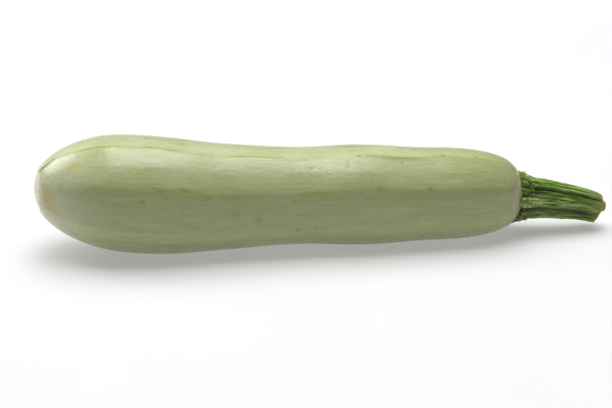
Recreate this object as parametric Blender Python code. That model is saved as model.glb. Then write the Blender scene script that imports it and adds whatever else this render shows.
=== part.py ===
"""Courgette as picked: a pale green fruit with its cut stalk, lying on its side.

The fruit lies along X with the blossom end at -X and the stalk at +X. The origin is at the middle
of the bounding box, on the surface that the fruit rests on, and +Z is up. Stations and lengths are in
millimetres, measured along X from the blossom tip. Angles are in degrees round the X axis, from +Y
towards +Z.
"""

import math

import bmesh
import bpy
import numpy as np
from mathutils import Matrix, Vector

MM = 0.001

# Fruit. The swell is the radius that the section would have without its rounded ends.
FRUIT_LENGTH = 216.0
SWELL = [(0, 24.0), (48, 25.7), (84, 23.0), (116, 21.2), (143, 22.0), (178, 20.4), (216, 21.5)]
LIFT = [(0, 29.4), (26, 28.0), (70, 24.5), (116, 23.0), (143, 22.2), (178, 20.9), (216, 19.1)]
SWAY = [(0, 3.0), (50, 0.6), (112, 0.0), (170, 0.6), (216, 2.0)]
BLOSSOM_CAP = 44.0
BLOSSOM_BLUNTNESS = 2.4
SHOULDER_CAP = 38.0
SHOULDER_BLUNTNESS = 3.5

# Eight low ridges run from end to end, with flatter faces between them.
RIDGES = 8
FIRST_RIDGE_ANGLE = 19.0
RIDGE_RISE = 0.018
RIDGE_SHARPNESS = 1.6
RIDGE_FADE_BLOSSOM = 30.0
RIDGE_FADE_SHOULDER = 14.0

# The skin is pressed flat where the two swellings carry the weight.
PRESSED_DEPTH = 0.45

# Stalk. It starts inside the fruit and is trimmed to the shoulder with a gap between the solids.
STALK_LINE = [(206, 2.0, 18.9), (214, 2.0, 17.8), (222, 2.1, 16.5), (230, 2.3, 15.2),
              (239, 2.6, 13.4), (247, 2.9, 11.5), (253.4, 3.1, 9.7)]
STALK_GIRTH = [(206, 11.6), (213, 11.0), (217, 10.2), (222, 8.9), (229, 8.3), (240, 7.6), (253.4, 6.5)]
STALK_LOBES = 5
FIRST_LOBE_ANGLE = 28.0
LOBE_RISE = [(206, 0.16), (217, 0.15), (228, 0.10), (253.4, 0.07)]
CUT_SLANT = 5.0
CUT_RIM_DROP = 0.7
PITH_RISE = 1.5
PITH_SHARE = 0.42
SEAT_GAP = 0.3

FRUIT_SEGMENTS = 48
FRUIT_RINGS = 40
STALK_SEGMENTS = 50
STALK_RINGS = 18
CAP_RINGS = 3

PALE_SKIN = (0.47, 0.53, 0.26, 1.0)
STALK_GREEN = (0.09, 0.16, 0.04, 1.0)


def clear_scene():
    """Remove every object that the file opened with."""
    for old in list(bpy.data.objects):
        bpy.data.objects.remove(old, do_unlink=True)


def make_collection(name):
    """Add a collection under the scene's own."""
    collection = bpy.data.collections.new(name)
    bpy.context.scene.collection.children.link(collection)
    return collection


def make_material(name, color, roughness):
    """A Principled material that is the same all over."""
    material = bpy.data.materials.new(name)
    material.use_nodes = True
    shader = material.node_tree.nodes["Principled BSDF"]
    shader.inputs["Base Color"].default_value = color
    shader.inputs["Roughness"].default_value = roughness
    shader.inputs["Metallic"].default_value = 0.0
    material.diffuse_color = color
    return material


def make_object(name, bm, collection, material=None):
    """Turn a bmesh into a smooth-shaded object."""
    mesh = bpy.data.meshes.new(name)
    bm.to_mesh(mesh)
    bm.free()
    mesh.shade_smooth()
    mesh.set_sharp_from_angle(angle=math.radians(50))
    if material is not None:
        mesh.materials.append(material)
    made = bpy.data.objects.new(name, mesh)
    collection.objects.link(made)
    return made


def flow(stations, place):
    """Read a smooth line of values at a place: cubic pieces that share slopes at the stations."""
    places = np.array([station[0] for station in stations], float)
    values = np.array([station[1:] for station in stations], float)
    slopes = np.gradient(values, places, axis=0)
    place = float(np.clip(place, places[0], places[-1]))
    i = int(np.clip(np.searchsorted(places, place, side="right") - 1, 0, len(places) - 2))
    span = places[i + 1] - places[i]
    t = (place - places[i]) / span
    start = (2 * t**3 - 3 * t**2 + 1) * values[i] + (t**3 - 2 * t**2 + t) * span * slopes[i]
    end = (3 * t**2 - 2 * t**3) * values[i + 1] + (t**3 - t**2) * span * slopes[i + 1]
    value = start + end
    return value if len(value) > 1 else float(value[0])


def end_cap(distance, length, bluntness):
    """Share of the full radius left at a distance from a rounded end."""
    inward = min(max(1 - distance / length, 0.0), 1.0)
    return (1 - inward**2) ** (1 / bluntness)


def ease(distance, length):
    """Rise smoothly from 0 to 1 over a length."""
    t = min(max(distance / length, 0.0), 1.0)
    return t * t * (3 - 2 * t)


def fruit_radius(place):
    """Mean radius of the fruit's section at a place along it."""
    radius = flow(SWELL, place)
    radius *= end_cap(place, BLOSSOM_CAP, BLOSSOM_BLUNTNESS)
    radius *= end_cap(FRUIT_LENGTH - place, SHOULDER_CAP, SHOULDER_BLUNTNESS)
    return radius


def ridge_factor(place, angle):
    """How much the section stands out at an angle: most on a ridge, least on the face between."""
    wave = (1 + math.cos(RIDGES * (angle - math.radians(FIRST_RIDGE_ANGLE)))) / 2
    fade = ease(place, RIDGE_FADE_BLOSSOM) * ease(FRUIT_LENGTH - place, RIDGE_FADE_SHOULDER)
    return 1 + RIDGE_RISE * fade * (wave**RIDGE_SHARPNESS - 0.4)


def fruit_point(place, angle):
    """A point of the skin, in metres."""
    radius = fruit_radius(place) * ridge_factor(place, angle)
    y = flow(SWAY, place) + radius * math.cos(angle)
    z = flow(LIFT, place) + radius * math.sin(angle)
    return Vector((place, y, z)) * MM


def fruit_bmesh():
    """A sphere whose rings are moved onto the fruit's stations, blossom end first."""
    bm = bmesh.new()
    bmesh.ops.create_uvsphere(bm, u_segments=FRUIT_SEGMENTS, v_segments=FRUIT_RINGS, radius=1.0)
    for vert in bm.verts:
        place = FRUIT_LENGTH * (1 - vert.co.z) / 2
        angle = math.atan2(vert.co.y, vert.co.x)
        vert.co = fruit_point(place, angle)
    bmesh.ops.recalc_face_normals(bm, faces=bm.faces)
    return bm


def press_flat(bm):
    """Cut the underside level where the swellings rest, and close the cuts with flat faces."""
    lowest = min(vert.co.z for vert in bm.verts)
    level = Vector((0, 0, lowest + PRESSED_DEPTH * MM))
    geometry = bm.verts[:] + bm.edges[:] + bm.faces[:]
    bmesh.ops.bisect_plane(bm, geom=geometry, dist=1e-7, plane_co=level, plane_no=(0, 0, -1), clear_outer=True)
    rims = [edge for edge in bm.edges if edge.is_boundary]
    bmesh.ops.holes_fill(bm, edges=rims, sides=0)
    bmesh.ops.recalc_face_normals(bm, faces=bm.faces)


def swollen_fruit_bmesh(gap):
    """The fruit with its skin moved outwards, for trimming what sits against it."""
    bm = fruit_bmesh()
    bm.normal_update()
    moved = [(vert, vert.co + vert.normal * gap * MM) for vert in bm.verts]
    for vert, place in moved:
        vert.co = place
    return bm


def stalk_frame(place):
    """Centre of the stalk at a place, with its direction turned into a matrix, in millimetres."""
    before = Vector((place - 1.0, *flow(STALK_LINE, place - 1.0)))
    after = Vector((place + 1.0, *flow(STALK_LINE, place + 1.0)))
    ahead = (after - before).normalized()
    across = Vector((0, 0, 1)).cross(ahead).normalized()
    upward = ahead.cross(across)
    centre = Vector((place, *flow(STALK_LINE, place)))
    return centre, ahead, across, upward


def stalk_point(share, reach, angle):
    """A point of the stalk, in metres.

    share runs from 0 at the root to 1 at the cut, and reach from 0 on the axis to 1 on the rind.
    """
    root = STALK_LINE[0][0]
    tip = STALK_LINE[-1][0]
    place = root + share * (tip - root)
    centre, ahead, across, upward = stalk_frame(min(place, tip - 1.0))
    centre = Vector((place, *flow(STALK_LINE, place)))
    lobes = math.cos(STALK_LOBES * (angle - math.radians(FIRST_LOBE_ANGLE)))
    radius = flow(STALK_GIRTH, place) * (1 + flow(LOBE_RISE, place) * lobes)
    side = reach * radius * math.cos(angle)
    rise = reach * radius * math.sin(angle)
    slant = rise * math.tan(math.radians(CUT_SLANT)) * share**3
    if share == 1.0:
        slant += cut_face_rise(reach)
    return (centre + across * side + upward * rise + ahead * slant) * MM


def cut_face_rise(reach):
    """How far the cut face stands out: the rind shrinks back, and the dried pith stands proud."""
    if reach < PITH_SHARE:
        return PITH_RISE
    return -CUT_RIM_DROP * ((reach - PITH_SHARE) / (1 - PITH_SHARE)) ** 2


def stalk_bmesh():
    """A cylinder with rings along it and on its cut face, moved onto the stalk's own line."""
    bm = bmesh.new()
    bmesh.ops.create_cone(
        bm, cap_ends=True, segments=STALK_SEGMENTS, radius1=1.0, radius2=1.0, depth=1.0)
    lengthwise = [edge for edge in bm.edges if abs(edge.verts[0].co.z - edge.verts[1].co.z) > 0.5]
    bmesh.ops.subdivide_edges(bm, edges=lengthwise, cuts=STALK_RINGS, use_grid_fill=True)
    cut_face = max(bm.faces, key=lambda face: face.calc_center_median().z)
    for ring in range(CAP_RINGS):
        width = (1 - PITH_SHARE) / CAP_RINGS * (1.0 if ring < CAP_RINGS - 1 else 0.99)
        bmesh.ops.inset_region(bm, faces=[cut_face], thickness=width, use_even_offset=False)
    bmesh.ops.inset_region(bm, faces=[cut_face], thickness=PITH_SHARE * 0.45, use_even_offset=False)
    bmesh.ops.poke(bm, faces=[cut_face])
    for vert in bm.verts:
        share = min(max(vert.co.z + 0.5, 0.0), 1.0)
        share = round(share, 6)
        reach = min(math.hypot(vert.co.x, vert.co.y), 1.0)
        angle = math.atan2(vert.co.y, vert.co.x)
        vert.co = stalk_point(share, reach, angle)
    bmesh.ops.recalc_face_normals(bm, faces=bm.faces)
    return bm


def trim_to(stalk, cutter):
    """Cut the stalk's root to the fruit's shoulder."""
    trim = stalk.modifiers.new("seat_on_shoulder", "BOOLEAN")
    trim.operation = "DIFFERENCE"
    trim.solver = "EXACT"
    trim.object = cutter


def stand_on_origin(pieces, followers):
    """Move the meshes so that the middle of the pieces' box is over the origin and their base at z = 0."""
    corners = np.array([vert.co for piece in pieces for vert in piece.data.vertices])
    low = corners.min(axis=0)
    high = corners.max(axis=0)
    shift = Vector((-(low[0] + high[0]) / 2, -(low[1] + high[1]) / 2, -low[2]))
    for piece in pieces + followers:
        piece.data.transform(Matrix.Translation(shift))


def main():
    clear_scene()
    parts = make_collection("courgette")
    cutters = make_collection("cutters")

    bm = fruit_bmesh()
    press_flat(bm)
    fruit = make_object("fruit", bm, parts, make_material("pale_skin", PALE_SKIN, 0.35))
    stalk = make_object("stalk", stalk_bmesh(), parts, make_material("stalk_rind", STALK_GREEN, 0.6))

    shoulder = make_object("shoulder_cutter", swollen_fruit_bmesh(SEAT_GAP), cutters)
    shoulder.hide_render = True
    shoulder.display_type = "WIRE"

    stand_on_origin([fruit, stalk], [shoulder])
    trim_to(stalk, shoulder)


main()
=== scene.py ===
import logging
import math
from dataclasses import dataclass, field
from enum import Enum

import bpy
import numpy as np
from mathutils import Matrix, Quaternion, Vector


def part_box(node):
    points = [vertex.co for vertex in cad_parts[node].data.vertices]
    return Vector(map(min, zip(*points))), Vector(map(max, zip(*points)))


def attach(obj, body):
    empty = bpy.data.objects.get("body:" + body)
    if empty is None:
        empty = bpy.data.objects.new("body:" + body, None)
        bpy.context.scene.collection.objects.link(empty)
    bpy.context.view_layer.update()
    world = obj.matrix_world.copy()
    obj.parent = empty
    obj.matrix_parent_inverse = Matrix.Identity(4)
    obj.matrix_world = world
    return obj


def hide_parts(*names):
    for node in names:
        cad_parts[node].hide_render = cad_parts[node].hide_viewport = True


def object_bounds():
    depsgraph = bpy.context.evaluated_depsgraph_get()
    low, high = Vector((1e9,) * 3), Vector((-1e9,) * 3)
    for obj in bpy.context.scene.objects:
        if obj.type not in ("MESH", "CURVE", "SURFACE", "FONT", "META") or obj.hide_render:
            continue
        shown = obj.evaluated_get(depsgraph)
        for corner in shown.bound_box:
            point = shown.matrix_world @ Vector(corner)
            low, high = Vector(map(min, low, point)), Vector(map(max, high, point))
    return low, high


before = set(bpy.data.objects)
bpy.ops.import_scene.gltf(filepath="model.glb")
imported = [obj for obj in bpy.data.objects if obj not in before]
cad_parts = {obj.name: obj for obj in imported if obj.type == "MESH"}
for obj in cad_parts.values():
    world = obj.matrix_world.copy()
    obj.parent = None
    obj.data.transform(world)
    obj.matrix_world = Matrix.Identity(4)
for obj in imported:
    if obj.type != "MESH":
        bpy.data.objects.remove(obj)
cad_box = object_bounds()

MM = 0.001
# The node types that the trees use most.
MATH = "ShaderNodeMath"
VECTORS = "ShaderNodeVectorMath"
SPAN = "ShaderNodeMapRange"
CURVE = "ShaderNodeFloatCurve"
COMBINE = "ShaderNodeCombineXYZ"
SPLIT = "ShaderNodeSeparateXYZ"
READ = "ShaderNodeAttribute"
log = logging.getLogger("courgette")

Colour = tuple[float, float, float, float]
Stations = tuple[tuple[float, float], ...]
Tree = bpy.types.NodeTree
Node = bpy.types.Node
Socket = bpy.types.NodeSocket
Layers = list[tuple[Node, str]]
Sizes = dict[str, float | int | Vector | bpy.types.Material]


def linear(hex_colour: str) -> Colour:
    """Turn an sRGB hex colour to linear light.

    Args:
        hex_colour: six hex digits, such as "c8cfa7".

    Returns:
        Red, green, blue and an alpha of 1.
    """
    channels = [int(hex_colour[i:i + 2], 16) / 255 for i in (0, 2, 4)]
    light = [c / 12.92 if c <= 0.04045 else ((c + 0.055) / 1.055) ** 2.4 for c in channels]
    return (light[0], light[1], light[2], 1.0)


def add(tree: Tree, kind: str, feeds: dict | None = None, **settings: object) -> Node:
    """Add a node to a tree with its settings and links.

    Args:
        tree: the node tree that takes the node.
        kind: the node's type name.
        feeds: what goes into each input, by name or number: a value, a socket, or a node,
            whose first output is taken.
        settings: the node's own properties.

    Returns:
        The new node.
    """
    node = tree.nodes.new(kind)
    for name, value in settings.items():
        setattr(node, name, value)
    for key, value in (feeds or {}).items():
        source = value.outputs[0] if isinstance(value, Node) else value
        if isinstance(source, Socket):
            tree.links.new(source, node.inputs[key])
        else:
            node.inputs[key].default_value = source
    return node


def shape_curve(node: Node, stations: Stations) -> Node:
    """Lay a curve node's points on stations.

    Args:
        node: a Float Curve node.
        stations: places and values, both from 0 to 1.

    Returns:
        The same node.
    """
    curve = node.mapping.curves[0]
    while len(curve.points) < len(stations):
        curve.points.new(0.5, 0.5)
    for point, (place, value) in zip(curve.points, stations):
        point.location = (place, value)
        point.handle_type = "AUTO"
    node.mapping.update()
    return node


def new_finish(name: str, constants: dict[str, float | tuple]) -> tuple[bpy.types.Material, Tree, Node]:
    """Start a material.

    Args:
        name: its name.
        constants: the values that stay on the shader's own sockets.

    Returns:
        The material, its tree and its shader.
    """
    material = bpy.data.materials.new(name)
    material.use_nodes = True
    shader = material.node_tree.nodes["Principled BSDF"]
    for socket, value in constants.items():
        shader.inputs[socket].default_value = value
    return material, material.node_tree, shader


def per_metre(cell: tuple[float, float, float]) -> tuple[float, ...]:
    """Turn lengths in millimetres into how often each fits in a metre."""
    return tuple(1 / (side * MM) for side in cell)


def grain(tree: Tree, place: Node | Socket, cell: tuple[float, float, float], feeds: dict,
        **settings: object) -> Node:
    """Lay noise over a place, in clumps of a real size.

    Args:
        tree: the node tree.
        place: where the noise is read, in metres.
        cell: a clump's length, width and height, in millimetres.
        feeds: the noise's other inputs.
        settings: the noise's own properties.

    Returns:
        The noise node.
    """
    spread = add(tree, VECTORS, {0: place, 1: per_metre(cell)}, operation="MULTIPLY")
    return add(tree, "ShaderNodeTexNoise", {"Vector": spread, "Scale": 1.0, **feeds}, **settings)


def paint(tree: Tree, colour: Colour | Node, layers: Layers) -> Socket:
    """Lay colours over a ground, one after another.

    Args:
        tree: the material's tree.
        colour: the ground.
        layers: how much of each colour shows, and its sRGB hex.

    Returns:
        The finished colour's socket.
    """
    for amount, hue in layers:
        colour = add(tree, "ShaderNodeMix", {"Factor": amount, 6: colour, 7: linear(hue)},
            data_type="RGBA").outputs[2]
    return colour


def declare(tree: Tree, sizes: Sizes) -> None:
    """Give a geometry tree a named input for each size, and a geometry output.

    Args:
        tree: the new tree.
        sizes: each input's name and its value.
    """
    kinds = {float: "NodeSocketFloat", int: "NodeSocketInt", Vector: "NodeSocketVector",
        bpy.types.Material: "NodeSocketMaterial"}
    tree.interface.new_socket("Geometry", in_out="INPUT", socket_type="NodeSocketGeometry")
    tree.interface.new_socket("Geometry", in_out="OUTPUT", socket_type="NodeSocketGeometry")
    for name, value in sizes.items():
        tree.interface.new_socket(name, in_out="INPUT", socket_type=kinds[type(value)])


def open_sheet(tree: Tree, sizes: Sizes) -> tuple[bpy.types.bpy_prop_collection, Node, Node, Node]:
    """Start a growth tree with its named inputs and a flat sheet to wrap round a line.

    Args:
        tree: the new tree.
        sizes: the tree's named inputs, with Rings along the line and Segments round it.

    Returns:
        The inputs' sockets, the sheet, the way along it from 0 to 1, and the angle round it.
    """
    declare(tree, sizes)
    size = add(tree, "NodeGroupInput").outputs
    sheet = add(tree, "GeometryNodeMeshGrid", {"Size X": 1.0, "Size Y": 1.0, "Vertices X": size["Rings"],
        "Vertices Y": size["Segments"]})
    flat = add(tree, SPLIT, {0: add(tree, "GeometryNodeInputPosition")})
    step = add(tree, MATH, {0: flat.outputs[0], 1: 0.5}, operation="ADD")
    angle = add(tree, MATH, {0: flat.outputs[1], 1: -2 * math.pi}, operation="MULTIPLY")
    return size, sheet, step, angle


def close_sheet(tree: Tree, sheet: Node, marks: dict[str, Node], placed: Node, material: Socket) -> None:
    """Move a sheet's points to their places, close its seam and poles, and dress it.

    Args:
        tree: the growth tree.
        sheet: the flat sheet.
        marks: what the material reads at each point, by attribute name: "grown" is a place, the
            others are numbers.
        placed: each point's place.
        material: the named input that holds the material.
    """
    for name, value in marks.items():
        sheet = add(tree, "GeometryNodeStoreNamedAttribute", {"Geometry": sheet, "Name": name, "Value": value},
            data_type="FLOAT_VECTOR" if name == "grown" else "FLOAT", domain="POINT")
    wrapped = add(tree, "GeometryNodeSetPosition", {"Geometry": sheet, "Position": placed})
    closed = add(tree, "GeometryNodeMergeByDistance", {"Geometry": wrapped, "Distance": 1e-6})
    smooth = add(tree, "GeometryNodeSetShadeSmooth", {"Geometry": closed})
    real = add(tree, "GeometryNodeRealizeInstances", {"Geometry": smooth})
    dressed = add(tree, "GeometryNodeSetMaterial", {"Geometry": real, "Material": material})
    add(tree, "NodeGroupOutput", {0: dressed})


def grow(name: str, tree: Tree, sizes: Sizes, host: bpy.types.Mesh | None = None) -> bpy.types.Object:
    """Run a geometry tree and keep what it makes as a plain mesh.

    Args:
        name: the new piece's name.
        tree: the geometry tree.
        sizes: each named input's value.
        host: the mesh that the tree starts from, or none.

    Returns:
        The piece, with no modifier left on it.
    """
    start = host.copy() if host else bpy.data.meshes.new(name)
    piece = bpy.data.objects.new(name, start)
    bpy.context.scene.collection.objects.link(piece)
    modifier = piece.modifiers.new(tree.name, "NODES")
    modifier.node_group = tree
    for item in tree.interface.items_tree:
        if item.in_out == "INPUT" and item.name in sizes:
            modifier[item.identifier] = sizes[item.name]
    depsgraph = bpy.context.evaluated_depsgraph_get()
    grown = bpy.data.meshes.new_from_object(piece.evaluated_get(depsgraph), preserve_all_data_layers=True,
        depsgraph=depsgraph)
    piece.modifiers.clear()
    piece.data = grown
    grown.name = name
    bpy.data.meshes.remove(start)
    return piece


def vectors(mesh: bpy.types.Mesh, kind: str) -> np.ndarray:
    """Read a mesh's places ("co") or normals ("normal") as rows of three.

    Args:
        mesh: the mesh.
        kind: what to read of each vertex.

    Returns:
        One row for each vertex.
    """
    values = np.zeros(len(mesh.vertices) * 3, np.float32)
    mesh.vertices.foreach_get(kind, values)
    return values.reshape(-1, 3)


def smoothstep(low: float, high: float, values: np.ndarray) -> np.ndarray:
    """Rise smoothly from 0 at low to 1 at high; with low above high it falls instead."""
    t = np.clip((values - low) / (high - low), 0.0, 1.0)
    return t * t * (3 - 2 * t)


class Mark(Enum):
    """A kind of blemish, named for the attribute that its colour is read from."""

    PALE = "pale"
    AMBER = "amber"
    GREEN = "green"
    LEAF = "leaf"
    RUST = "rust"
    PIT = "pit"


@dataclass(frozen=True)
class Blemish:
    """One mark on the skin.

    place is its distance from the blossom tip and size its half length, both in millimetres;
    angle is in degrees round the fruit from +Y towards +Z; stretch is its length over its width.
    """

    mark: Mark
    place: float
    angle: float
    size: float
    stretch: float = 1.0
    strength: float = 1.0


@dataclass(frozen=True)
class CourgetteSkin:
    """Living courgette skin: a thin waxed rind grown over pale wet flesh.

    The wax gives a satin highlight over a colour that light soaks into a little. The green lies in
    long streaks and in thin lines on the ridges, with fine pale flecks where the breathing pores are.
    """

    ground: str = "99a369"
    # The faces' pale tint; where it is strongest, on the upward face, it is painted light.
    face_tint_and_painted_light: str = "b8bf94"
    deep: str = "8c985c"
    pale: str = "b4bb96"
    line: str = "879644"
    spot: str = "7a8832"
    leaf: str = "4e8a00"
    amber: str = "b7a24c"
    rust: str = "a88f44"
    blossom: str = "cfd0b8"
    shoulder: str = "a89a7c"
    roughness: float = 0.30
    # Pale tint by turn round the fruit: the peak on the upward face is painted light and the bare lower front
    # is painted shade; elsewhere it is each face's own tint.
    faces: Stations = ((0.0, 0.15), (0.04, 0.25), (0.08, 0.27), (0.115, 0.0), (0.17, 0.0), (0.28, 0.67),
        (0.31, 0.35), (0.40, 0.35), (0.43, 0.67), (0.54, 0.35), (0.66, 0.6), (0.69, 1.0), (0.79, 1.0),
        (0.815, 0.42), (0.875, 0.5), (0.915, 0.42), (0.945, 0.27), (0.97, 0.15), (1.0, 0.15))
    ridges: int = 8
    first_ridge: float = math.radians(19.0)
    main_ridge: float = math.radians(109.0)

    def material(self) -> bpy.types.Material:
        """Build the skin's node tree.

        Returns:
            The material.
        """
        material, tree, shader = new_finish("courgette_skin_waxed", {"IOR": 1.48, "Subsurface Weight": 0.2,
            "Subsurface Radius": (1.0, 1.1, 0.6), "Subsurface Scale": 1.5 * MM, "Coat Weight": 0.5,
            "Coat Roughness": 0.21})
        grown = add(tree, READ, attribute_name="grown").outputs["Vector"]
        parts = add(tree, SPLIT, {0: grown})
        angle = add(tree, MATH, {0: parts.outputs[2], 1: parts.outputs[1]}, operation="ARCTAN2")
        sunny = add(tree, SPAN, {"Value": parts.outputs[0], "From Min": 0.155, "From Max": 0.21, "To Min": 1.0,
            "To Max": 0.3})
        colour = paint(tree, linear(self.ground), [*self.streaks(tree, grown, angle, sunny),
            *self.ridge_lines(tree, grown, angle, sunny), *self.flecks(tree, grown), *self.ends(tree, parts),
            *self.blemishes(tree, grown)])
        tree.links.new(colour, shader.inputs["Base Color"])
        self.surface(tree, grown, shader)
        return material

    def streaks(self, tree: Tree, grown: Socket, angle: Node, sunny: Node) -> Layers:
        """Tint each face between ridges, palest on the upward face, where the tint is painted light, with
        clouds 30 mm long under streaks 2 mm wide.

        Args:
            tree: the material's tree.
            grown: the straightened place on the fruit, in metres.
            angle: the angle round it.
            sunny: 1 along the fruit, falling towards the shoulder, where the faces look alike and the painted
                light on the top fades.

        Returns:
            The layers of paint.
        """
        turn = add(tree, SPAN, {"Value": angle, "From Min": -math.pi, "From Max": math.pi})
        # Painted light: the pale tint is strongest on the face that looks up and is left off the lower front.
        face = shape_curve(add(tree, CURVE, {"Value": turn}), self.faces)
        face = add(tree, MATH, {0: face, 1: sunny}, operation="MULTIPLY")
        cloud = grain(tree, grown, (30, 11, 11), {"Detail": 4.0})
        streak = grain(tree, grown, (22, 1.6, 1.6), {"Detail": 5.0, "Roughness": 0.62})
        layers = [(face, self.face_tint_and_painted_light)]
        for source, low, high, hue in ((cloud, 0.5, 0.72, self.deep), (streak, 0.52, 0.72, self.deep),
                (streak, 0.48, 0.3, self.pale)):
            shown = add(tree, SPAN, {"Value": source, "From Min": low, "From Max": high, "To Max": 0.5})
            layers.append((shown, hue))
        return layers

    def ridge_lines(self, tree: Tree, grown: Socket, angle: Node, sunny: Node) -> Layers:
        """Draw a greener line on each ridge, 2 mm wide at its faint edges, which comes and goes.

        The line on the ridge at main_ridge is the strongest.

        Args:
            tree: the material's tree.
            grown: the straightened place on the fruit, in metres.
            angle: the angle round it.
            sunny: 1 along the fruit, falling towards the shoulder, where the lines fade.

        Returns:
            The layers of paint.
        """
        wander = grain(tree, grown, (30, 30, 30), {"Detail": 1.5})
        sway = add(tree, MATH, {0: wander, 1: 0.5}, operation="SUBTRACT")
        turned = add(tree, MATH, {0: sway, 1: 0.3, 2: angle}, operation="MULTIPLY_ADD")
        offset = add(tree, MATH, {0: turned, 1: self.first_ridge}, operation="SUBTRACT")
        phase = add(tree, MATH, {0: offset, 1: float(self.ridges)}, operation="MULTIPLY")
        wave = add(tree, MATH, {0: phase}, operation="COSINE")
        thin = add(tree, SPAN, {"Value": wave, "From Min": 0.93, "From Max": 1.0},
            interpolation_type="SMOOTHSTEP")
        soft = add(tree, SPAN, {"Value": wave, "From Min": 0.6, "From Max": 1.0, "To Max": 0.2},
            interpolation_type="SMOOTHSTEP")
        patchy = grain(tree, grown, (50, 20, 20), {"Detail": 4.0})
        away = add(tree, MATH, {0: angle, 1: self.main_ridge}, operation="SUBTRACT")
        facing = add(tree, MATH, {0: away}, operation="COSINE")
        main = add(tree, SPAN, {"Value": facing, "From Min": 0.92, "From Max": 0.97, "To Max": 0.33})
        level = add(tree, MATH, {0: patchy, 1: main}, operation="ADD")
        strength = add(tree, SPAN, {"Value": level, "From Min": 0.56, "From Max": 0.86, "To Min": 0.02,
            "To Max": 0.95})
        drawn = add(tree, MATH, {0: thin, 1: soft}, operation="MAXIMUM")
        for part in (strength, sunny):
            drawn = add(tree, MATH, {0: drawn, 1: part}, operation="MULTIPLY")
        return [(drawn, self.line)]

    def flecks(self, tree: Tree, grown: Socket) -> Layers:
        """Scatter pale dashes 2 mm long and 0.7 mm wide, and rarer green dots 1 mm across.

        Args:
            tree: the material's tree.
            grown: the straightened place on the fruit, in metres.

        Returns:
            The layers of paint.
        """
        layers = []
        for cell, size, share, strength, hue in (((3.4, 1, 1), 0.34, 0.35, 0.45, self.pale),
                ((7, 5.5, 5.5), 0.10, 0.15, 0.4, self.spot)):
            spread = add(tree, VECTORS, {0: grown, 1: per_metre(cell)}, operation="MULTIPLY")
            cells = add(tree, "ShaderNodeTexVoronoi", {"Vector": spread, "Scale": 1.0, "Randomness": 1.0})
            chosen = add(tree, "ShaderNodeSeparateColor", {0: cells.outputs["Color"]})
            picked = add(tree, MATH, {0: chosen, 1: share}, operation="LESS_THAN")
            dot = add(tree, SPAN, {"Value": cells.outputs["Distance"], "From Min": size, "From Max": size * 0.3,
                "To Max": strength}, interpolation_type="SMOOTHSTEP")
            layers.append((add(tree, MATH, {0: dot, 1: picked}, operation="MULTIPLY"), hue))
        return layers

    def ends(self, tree: Tree, parts: Node) -> Layers:
        """Bleach the blossom end and give the shoulder round the stalk a tan tint.

        Args:
            tree: the material's tree.
            parts: the straightened place's X, Y and Z.

        Returns:
            The layers of paint.
        """
        layers = []
        for start, full, most, hue in ((0.034, 0.0, 0.55, self.blossom), (0.198, 0.216, 0.4, self.shoulder)):
            shown = add(tree, SPAN, {"Value": parts.outputs[0], "From Min": start, "From Max": full,
                "To Max": most}, interpolation_type="SMOOTHSTEP")
            layers.append((shown, hue))
        return layers

    def blemishes(self, tree: Tree, grown: Socket) -> Layers:
        """Colour the marks that the mesh carries, with edges broken up at 1.2 mm.

        Args:
            tree: the material's tree.
            grown: the straightened place on the fruit, in metres.

        Returns:
            The layers of paint.
        """
        fine = grain(tree, grown, (1.2, 1.2, 1.2), {"Detail": 4.0})
        ragged = add(tree, MATH, {0: fine, 1: 0.5}, operation="SUBTRACT")
        layers = []
        for mark, hue in ((Mark.PALE, self.blossom), (Mark.AMBER, self.amber), (Mark.GREEN, self.spot),
                (Mark.LEAF, self.leaf), (Mark.RUST, self.rust), (Mark.PIT, self.spot)):
            amount = add(tree, READ, attribute_name=mark.value).outputs["Fac"]
            broken = add(tree, MATH, {0: ragged, 1: 0.9, 2: amount}, operation="MULTIPLY_ADD")
            edge = add(tree, SPAN, {"Value": broken, "From Min": 0.15, "From Max": 0.75})
            layers.append((add(tree, MATH, {0: edge, 1: amount}, operation="MULTIPLY"), hue))
        return layers

    def surface(self, tree: Tree, grown: Socket, shader: Node) -> None:
        """Set the wax's gloss and its fine grain: pebbling 1.6 mm across under wrinkles 0.5 mm wide.

        Args:
            tree: the material's tree.
            grown: the straightened place on the fruit, in metres.
            shader: the material's shader.
        """
        normal = None
        for cell, detail, height in (((2.2, 1.6, 1.6), 2.0, 0.13 * MM), ((4, 0.5, 0.5), 3.0, 0.012 * MM)):
            bump = {"Height": grain(tree, grown, cell, {"Detail": detail}), "Distance": height, "Strength": 1.0}
            normal = add(tree, "ShaderNodeBump", {**bump, "Normal": normal} if normal else bump)
        tree.links.new(normal.outputs[0], shader.inputs["Normal"])
        gloss = grain(tree, grown, (6, 4, 4), {"Detail": 4.0})
        sheen = add(tree, SPAN, {"Value": gloss, "From Min": 0.3, "From Max": 0.7,
            "To Min": self.roughness - 0.08, "To Max": self.roughness + 0.12})
        tree.links.new(sheen.outputs[0], shader.inputs["Roughness"])


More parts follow.
